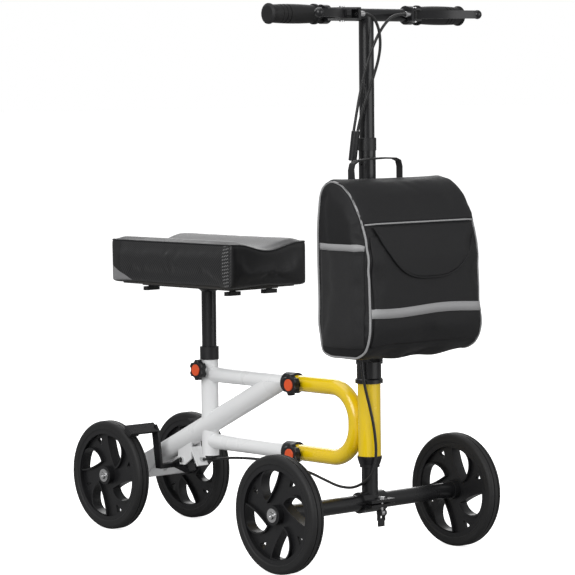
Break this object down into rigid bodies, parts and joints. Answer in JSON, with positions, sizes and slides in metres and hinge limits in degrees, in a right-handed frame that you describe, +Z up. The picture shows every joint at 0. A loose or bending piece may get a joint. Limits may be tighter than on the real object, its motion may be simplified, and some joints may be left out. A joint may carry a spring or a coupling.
{
  "type": "steerable knee scooter",
  "caption": "Steerable knee scooter with a white and yellow tube frame, padded knee rest, folding height-adjustable handlebar, hand brake and a front bag.",
  "frame": {"origin": "on the floor, at the middle of the scooter's length and width", "axes": "+X forward, +Y to the rider's left, +Z up; the wheels stand on Z = 0"},
  "size_m": [0.846, 0.4672, 0.9625],
  "materials": {
    "white_paint": "gloss",
    "yellow_paint": "gloss",
    "black_metal": "satin",
    "black_plastic": "matte",
    "bright_steel": "satin",
    "orange_plastic": "satin",
    "wheel_plastic": "satin",
    "tyre_rubber": "matte",
    "grip_rubber": "matte",
    "pad_vinyl": "satin",
    "bag_cloth": "matte",
    "board_wood": "matte",
    "cable_black": "satin"
  },
  "bodies": {
    "frame": {"seat_tube": "white_paint", "upper_frame_tube": "white_paint", "lower_frame_tube": "white_paint", "diagonal_tube": "white_paint", "rear_crossbar": "white_paint", "seat_collar": "black_plastic", "joint_collars": "black_plastic", "c_frame_tube": "yellow_paint", "head_tube": "yellow_paint", "headset_cups": "black_metal", "frame_bearings": "bright_steel", "brake_bracket": "white_paint", "rear_fasteners": "bright_steel", "brake_cable_rear": "cable_black"},
    "rear_wheel_right": {"wheel_rear_right": "wheel_plastic", "tyre_rear_right": "tyre_rubber"},
    "rear_wheel_left": {"wheel_rear_left": "wheel_plastic", "tyre_rear_left": "tyre_rubber"},
    "front_wheel_right": {"wheel_front_right": "wheel_plastic", "tyre_front_right": "tyre_rubber"},
    "front_wheel_left": {"wheel_front_left": "wheel_plastic", "tyre_front_left": "tyre_rubber"},
    "brake": {"brake_arms": "black_metal", "brake_pads": "grip_rubber"},
    "seat": {"seat_post": "black_metal", "pad_board": "board_wood", "knee_pad": "pad_vinyl"},
    "pad_knob_fr": {"pad_knob_front_right": "black_plastic"},
    "pad_knob_fl": {"pad_knob_front_left": "black_plastic"},
    "pad_knob_rr": {"pad_knob_rear_right": "black_plastic"},
    "pad_knob_rl": {"pad_knob_rear_left": "black_plastic"},
    "knob_seat": {"star_knob_seat": "black_plastic", "star_knob_cap_seat": "orange_plastic"},
    "knob_upper": {"star_knob_upper": "black_plastic", "star_knob_cap_upper": "orange_plastic"},
    "knob_lower": {"star_knob_lower": "black_plastic", "star_knob_cap_lower": "orange_plastic"},
    "steering": {"steerer_tube": "black_metal", "front_axle": "black_metal", "front_wheel_bearings": "bright_steel", "axle_clamp": "black_metal", "steering_fasteners": "bright_steel", "stem_base": "black_metal"},
    "quick_release": {"quick_release_lever": "black_plastic"},
    "fold_lock": {"fold_lock_lever": "black_plastic"},
    "column": {"column_tube": "black_metal", "column_collar": "black_plastic", "cable_joiner": "black_plastic", "bag_body": "bag_cloth", "bag_webbing": "bag_cloth", "brake_cable_column": "cable_black"},
    "bars": {"handlebar": "black_metal", "grips": "grip_rubber", "lever_brackets": "black_metal", "lever_hardware": "bright_steel", "cable_right": "cable_black", "cable_left": "cable_black"},
    "lever_right": {"brake_lever_right": "black_metal"},
    "lever_left": {"brake_lever_left": "black_metal"}
  },
  "joints": [
    {"name": "rear_wheel_right_spin", "type": "hinge", "parent": "frame", "child": "rear_wheel_right", "pos_m": [-0.32145, -0.0985, 0.1016], "axis": [0, 1, 0], "continuous": true},
    {"name": "rear_wheel_left_spin", "type": "hinge", "parent": "frame", "child": "rear_wheel_left", "pos_m": [-0.32145, 0.0985, 0.1016], "axis": [0, 1, 0], "continuous": true},
    {"name": "brake_swing", "type": "hinge", "parent": "frame", "child": "brake", "pos_m": [-0.21645, 0, 0.131], "axis": [0, -1, 0], "range_deg": [0, 1.9]},
    {"name": "seat_height", "type": "slide", "parent": "frame", "child": "seat", "axis": [0, 0, -1], "range_m": [0, 0.095]},
    {"name": "pad_knob_front_right_turn", "type": "hinge", "parent": "seat", "child": "pad_knob_fr", "pos_m": [-0.02995, -0.044, 0.45], "axis": [0, 0, 1], "continuous": true},
    {"name": "pad_knob_front_left_turn", "type": "hinge", "parent": "seat", "child": "pad_knob_fl", "pos_m": [-0.02995, 0.044, 0.45], "axis": [0, 0, 1], "continuous": true},
    {"name": "pad_knob_rear_right_turn", "type": "hinge", "parent": "seat", "child": "pad_knob_rr", "pos_m": [-0.25995, -0.044, 0.45], "axis": [0, 0, 1], "continuous": true},
    {"name": "pad_knob_rear_left_turn", "type": "hinge", "parent": "seat", "child": "pad_knob_rl", "pos_m": [-0.25995, 0.044, 0.45], "axis": [0, 0, 1], "continuous": true},
    {"name": "star_knob_seat_turn", "type": "hinge", "parent": "frame", "child": "knob_seat", "pos_m": [-0.14795, -0.028, 0.305], "axis": [0, 1, 0], "continuous": true},
    {"name": "star_knob_upper_turn", "type": "hinge", "parent": "frame", "child": "knob_upper", "pos_m": [0.10855, -0.028, 0.2955], "axis": [0, 1, 0], "continuous": true},
    {"name": "star_knob_lower_turn", "type": "hinge", "parent": "frame", "child": "knob_lower", "pos_m": [0.10855, -0.028, 0.1715], "axis": [0, 1, 0], "continuous": true},
    {"name": "steering_turn", "type": "hinge", "parent": "frame", "child": "steering", "pos_m": [0.27855, 0, 0.245], "axis": [0, 0, 1], "range_deg": [-45, 45], "deforming": ["brake_cable_rear"]},
    {"name": "front_wheel_right_spin", "type": "hinge", "parent": "steering", "child": "front_wheel_right", "pos_m": [0.27855, -0.212, 0.1016], "axis": [0, 1, 0], "continuous": true},
    {"name": "front_wheel_left_spin", "type": "hinge", "parent": "steering", "child": "front_wheel_left", "pos_m": [0.27855, 0.212, 0.1016], "axis": [0, 1, 0], "continuous": true},
    {"name": "quick_release_swing", "type": "hinge", "parent": "steering", "child": "quick_release", "pos_m": [0.30355, 0.004, 0.084], "axis": [0, -1, 0], "range_deg": [0, 100]},
    {"name": "fold_lock_swing", "type": "hinge", "parent": "steering", "child": "fold_lock", "pos_m": [0.27855, 0.0238, 0.388], "axis": [1, 0, 0], "range_deg": [0, 100]},
    {"name": "column_fold", "type": "hinge", "parent": "steering", "child": "column", "pos_m": [0.27855, 0, 0.388], "axis": [0, -1, 0], "range_deg": [0, 52], "deforming": ["brake_cable_column"]},
    {"name": "handlebar_height", "type": "slide", "parent": "column", "child": "bars", "axis": [0, 0, -1], "range_m": [-0.03, 0.16], "deforming": ["cable_right", "cable_left"]},
    {"name": "brake_lever_right_squeeze", "type": "hinge", "parent": "bars", "child": "lever_right", "pos_m": [0.30955, -0.086, 0.945], "axis": [0, 0, -1], "range_deg": [0, 18], "stiffness_Nm_per_rad": 1.5, "springref_deg": -5.73},
    {"name": "brake_lever_left_squeeze", "type": "hinge", "parent": "bars", "child": "lever_left", "pos_m": [0.30955, 0.086, 0.945], "axis": [0, 0, 1], "range_deg": [0, 18], "stiffness_Nm_per_rad": 1.5, "springref_deg": -5.73}
  ],
  "couplings": [
    {"joint": "brake_swing", "follows": "brake_lever_right_squeeze", "ratio": 0.1}
  ]
}
